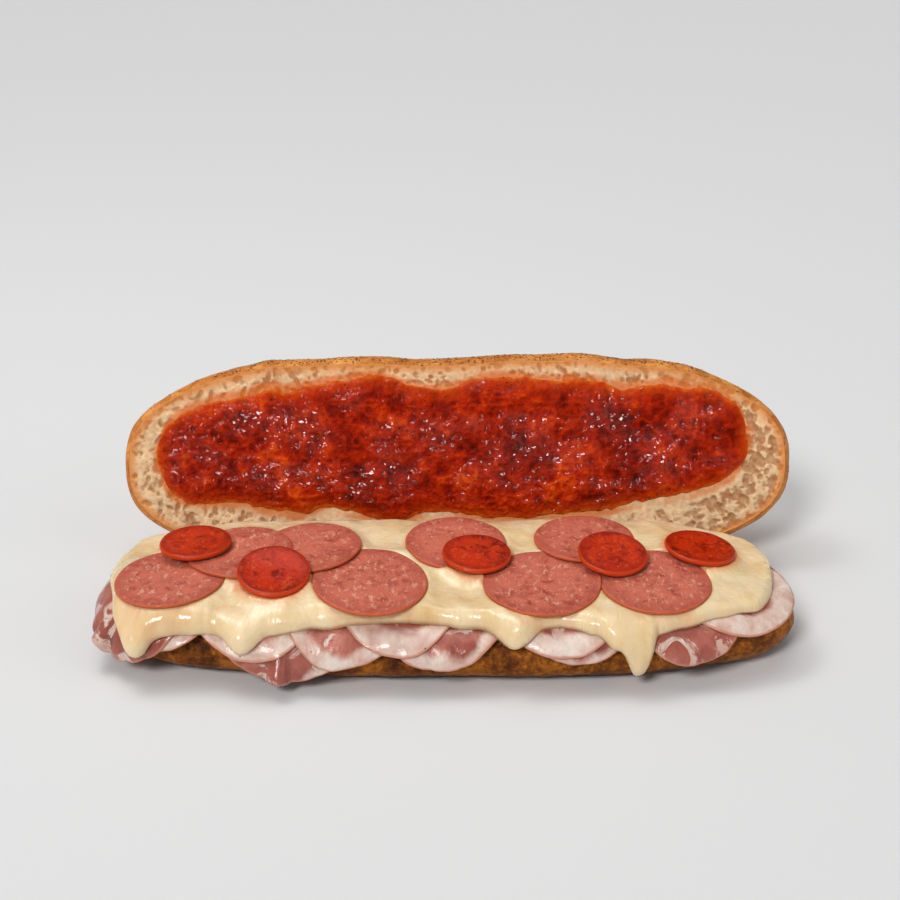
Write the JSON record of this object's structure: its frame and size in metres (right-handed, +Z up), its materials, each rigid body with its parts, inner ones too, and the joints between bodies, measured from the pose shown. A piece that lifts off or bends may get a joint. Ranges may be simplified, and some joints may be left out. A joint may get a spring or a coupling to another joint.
{
  "type": "submarine sandwich",
  "caption": "Open-faced long roll sandwich: ham, melted cheese, salami and pepperoni slices on the lower half, and the upper half with tomato sauce leaning up behind it",
  "frame": {"origin": "middle of the lower half's flat underside, on the table", "axes": "+X along the roll, +Y to the back where the upper half stands, +Z up"},
  "size_m": [0.3135, 0.1688, 0.0956],
  "materials": {
    "bun_base": "baked crust, matte",
    "bun_top": "baked crust, matte",
    "tomato_sauce": "wet and glossy",
    "melted_cheese": "smooth, slightly oily",
    "ham_slice": "moist",
    "salami_slice": "satin",
    "pepperoni_slice": "oily"
  },
  "bodies": {
    "root": {"bun_base": "bun_base", "bun_top": "bun_top", "tomato_sauce": "tomato_sauce", "melted_cheese": "melted_cheese", "ham_slice_01": "ham_slice", "ham_slice_02": "ham_slice", "ham_slice_03": "ham_slice", "ham_slice_04": "ham_slice", "ham_slice_05": "ham_slice", "ham_slice_06": "ham_slice", "ham_slice_07": "ham_slice", "ham_slice_08": "ham_slice", "ham_slice_09": "ham_slice", "ham_slice_10": "ham_slice", "ham_slice_11": "ham_slice", "salami_slice_1": "salami_slice", "salami_slice_2": "salami_slice", "salami_slice_3": "salami_slice", "salami_slice_4": "salami_slice", "salami_slice_5": "salami_slice", "salami_slice_6": "salami_slice", "salami_slice_7": "salami_slice", "salami_slice_8": "salami_slice", "pepperoni_slice_1": "pepperoni_slice", "pepperoni_slice_2": "pepperoni_slice", "pepperoni_slice_3": "pepperoni_slice", "pepperoni_slice_4": "pepperoni_slice", "pepperoni_slice_5": "pepperoni_slice"}
  },
  "joints": []
}
